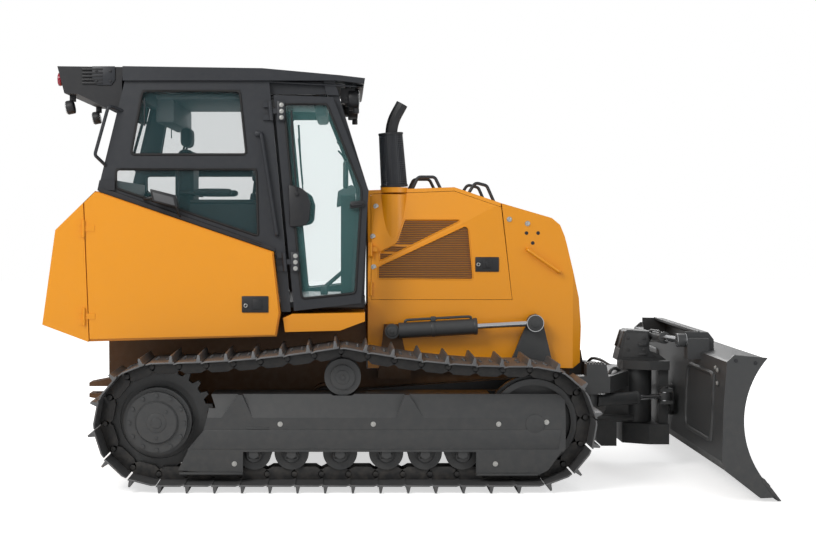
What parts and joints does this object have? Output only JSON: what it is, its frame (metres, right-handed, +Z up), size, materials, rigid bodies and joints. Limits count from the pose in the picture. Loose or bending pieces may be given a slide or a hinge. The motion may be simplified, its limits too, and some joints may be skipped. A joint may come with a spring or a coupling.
{
  "type": "crawler bulldozer",
  "caption": "Crawler bulldozer with an enclosed cab, sloped engine hood, steel tracks and a front blade that lifts, angles and tilts on a C-shaped push frame.",
  "frame": {"origin": "middle of the footprint at the ground, under the overall length and width", "axes": "+X forward towards the blade, +Y to the machine's left, +Z up"},
  "size_m": [4.557, 2.88, 2.687],
  "materials": {
    "yellow_paint": "satin",
    "black_paint": "satin",
    "track_steel": "matte",
    "grey_paint": "satin",
    "cutting_steel": "worn",
    "engine_iron": "matte",
    "chrome_rod": "polished",
    "window_glass": "clear",
    "lamp_plastic": "gloss",
    "seat_fabric": "woven",
    "console_plastic": "matte"
  },
  "bodies": {
    "chassis": {"main_frame": "yellow_paint", "engine_block": "engine_iron", "rear_housing": "yellow_paint", "hood_top": "yellow_paint", "nose": "yellow_paint", "front_grille": "black_paint", "exhaust": "black_paint", "cab_frame": "black_paint", "cab_glass": "window_glass", "cab_roof": "black_paint", "air_unit": "black_paint", "work_lamps": "lamp_plastic", "grab_rails": "black_paint", "seat": "seat_fabric", "consoles": "console_plastic", "platform": "yellow_paint", "track_right": "track_steel", "track_left": "track_steel", "track_frame_right": "grey_paint", "track_frame_left": "grey_paint", "sprockets": "grey_paint", "idlers": "grey_paint", "rollers": "grey_paint"},
    "c_frame": {"c_frame": "grey_paint"},
    "tower": {"blade_tower": "grey_paint"},
    "blade": {"blade": "grey_paint", "cutting_edge": "cutting_steel"},
    "tilt_barrel": {"tilt_barrel": "grey_paint"},
    "tilt_rod": {"tilt_rod": "chrome_rod"},
    "lift_barrel_right": {"lift_barrel_right": "grey_paint"},
    "lift_rod_right": {"lift_rod_right": "chrome_rod"},
    "angle_barrel_right": {"angle_barrel_right": "grey_paint"},
    "angle_rod_right": {"angle_rod_right": "chrome_rod"},
    "cab_door_right": {"cab_door_right": "black_paint", "door_glass_right": "window_glass"},
    "engine_door_right": {"engine_door_right": "yellow_paint"},
    "rear_door_right": {"rear_door_right": "yellow_paint"},
    "lift_barrel_left": {"lift_barrel_left": "grey_paint"},
    "lift_rod_left": {"lift_rod_left": "chrome_rod"},
    "angle_barrel_left": {"angle_barrel_left": "grey_paint"},
    "angle_rod_left": {"angle_rod_left": "chrome_rod"},
    "cab_door_left": {"cab_door_left": "black_paint", "door_glass_left": "window_glass"},
    "engine_door_left": {"engine_door_left": "yellow_paint"},
    "rear_door_left": {"rear_door_left": "yellow_paint"}
  },
  "joints": [
    {"name": "blade_lift", "type": "hinge", "parent": "chassis", "child": "c_frame", "pos_m": [-0.4745, 0, 0.5], "axis": [0, -1, 0], "range_deg": [-10.5, 20]},
    {"name": "lift_barrel_swing_right", "type": "hinge", "parent": "chassis", "child": "lift_barrel_right", "pos_m": [-0.0375, -0.552, 0.964], "axis": [0, -1, 0], "range_deg": [-16.8, 31.81]},
    {"name": "lift_rod_slide_right", "type": "slide", "parent": "lift_barrel_right", "child": "lift_rod_right", "axis": [0.9984, 0, 0.0562], "range_m": [-0.12322, 0.06516]},
    {"name": "lift_barrel_swing_left", "type": "hinge", "parent": "chassis", "child": "lift_barrel_left", "pos_m": [-0.0375, 0.552, 0.964], "axis": [0, -1, 0], "range_deg": [-16.8, 31.81]},
    {"name": "lift_rod_slide_left", "type": "slide", "parent": "lift_barrel_left", "child": "lift_rod_left", "axis": [0.9984, 0, 0.0562], "range_m": [-0.12322, 0.06516]},
    {"name": "blade_angle", "type": "hinge", "parent": "c_frame", "child": "tower", "pos_m": [1.6755, 0, 0], "axis": [0, 0, 1], "range_deg": [-25, 25]},
    {"name": "angle_barrel_swing_right", "type": "hinge", "parent": "c_frame", "child": "angle_barrel_right", "pos_m": [1.2755, -0.528, 0.5], "axis": [0, 0, 1], "range_deg": [-0.73, 0.73]},
    {"name": "angle_rod_slide_right", "type": "slide", "parent": "angle_barrel_right", "child": "angle_rod_right", "axis": [0.8925, 0.4511, 0], "range_m": [-0.12559, 0.12559]},
    {"name": "angle_barrel_swing_left", "type": "hinge", "parent": "c_frame", "child": "angle_barrel_left", "pos_m": [1.2755, 0.528, 0.5], "axis": [0, 0, 1], "range_deg": [-0.73, 0.73]},
    {"name": "angle_rod_slide_left", "type": "slide", "parent": "angle_barrel_left", "child": "angle_rod_left", "axis": [0.8925, -0.4511, 0], "range_m": [-0.12559, 0.12559]},
    {"name": "blade_tilt", "type": "hinge", "parent": "tower", "child": "blade", "pos_m": [-1.5245, 0, 0.45], "axis": [1, 0, 0], "range_deg": [-9, 9]},
    {"name": "tilt_barrel_swing", "type": "hinge", "parent": "tower", "child": "tilt_barrel", "pos_m": [1.8255, 0.19, 0.872], "axis": [1, 0, 0], "range_deg": [-7.58, 7.58]},
    {"name": "tilt_rod_slide", "type": "slide", "parent": "tilt_barrel", "child": "tilt_rod", "axis": [0, -0.9988, 0.0494], "range_m": [-0.06859, 0.06859]},
    {"name": "cab_door_swing_right", "type": "hinge", "parent": "chassis", "child": "cab_door_right", "pos_m": [-0.7345, -0.7881, 1.426], "axis": [0.0924, -0.0399, -0.9949], "range_deg": [0, 90]},
    {"name": "engine_door_swing_right", "type": "hinge", "parent": "chassis", "child": "engine_door_right", "pos_m": [-0.1735, -0.472, 1.43], "axis": [0, 0, -1], "range_deg": [0, 80]},
    {"name": "rear_door_swing_right", "type": "hinge", "parent": "chassis", "child": "rear_door_right", "pos_m": [-2.0105, -0.865, 1.38], "axis": [0, 0, -1], "range_deg": [0, 90]},
    {"name": "cab_door_swing_left", "type": "hinge", "parent": "chassis", "child": "cab_door_left", "pos_m": [-0.7345, 0.7881, 1.426], "axis": [-0.0924, -0.0399, 0.9949], "range_deg": [0, 90]},
    {"name": "engine_door_swing_left", "type": "hinge", "parent": "chassis", "child": "engine_door_left", "pos_m": [-0.1735, 0.472, 1.43], "axis": [0, 0, 1], "range_deg": [0, 80]},
    {"name": "rear_door_swing_left", "type": "hinge", "parent": "chassis", "child": "rear_door_left", "pos_m": [-2.0105, 0.865, 1.38], "axis": [0, 0, 1], "range_deg": [0, 90]}
  ],
  "couplings": [
    {"joint": "lift_barrel_swing_right", "follows": "blade_lift", "ratio": 1.5805},
    {"joint": "lift_rod_slide_right", "follows": "blade_lift", "m_per_rad": -0.35013},
    {"joint": "lift_barrel_swing_left", "follows": "blade_lift", "ratio": 1.5805},
    {"joint": "lift_rod_slide_left", "follows": "blade_lift", "m_per_rad": -0.35013},
    {"joint": "angle_barrel_swing_right", "follows": "blade_angle", "ratio": 0.02135},
    {"joint": "angle_rod_slide_right", "follows": "blade_angle", "m_per_rad": 0.28554},
    {"joint": "angle_barrel_swing_left", "follows": "blade_angle", "ratio": 0.02135},
    {"joint": "angle_rod_slide_left", "follows": "blade_angle", "m_per_rad": -0.28554},
    {"joint": "tilt_barrel_swing", "follows": "blade_tilt", "ratio": 0.81988},
    {"joint": "tilt_rod_slide", "follows": "blade_tilt", "m_per_rad": 0.43026}
  ]
}
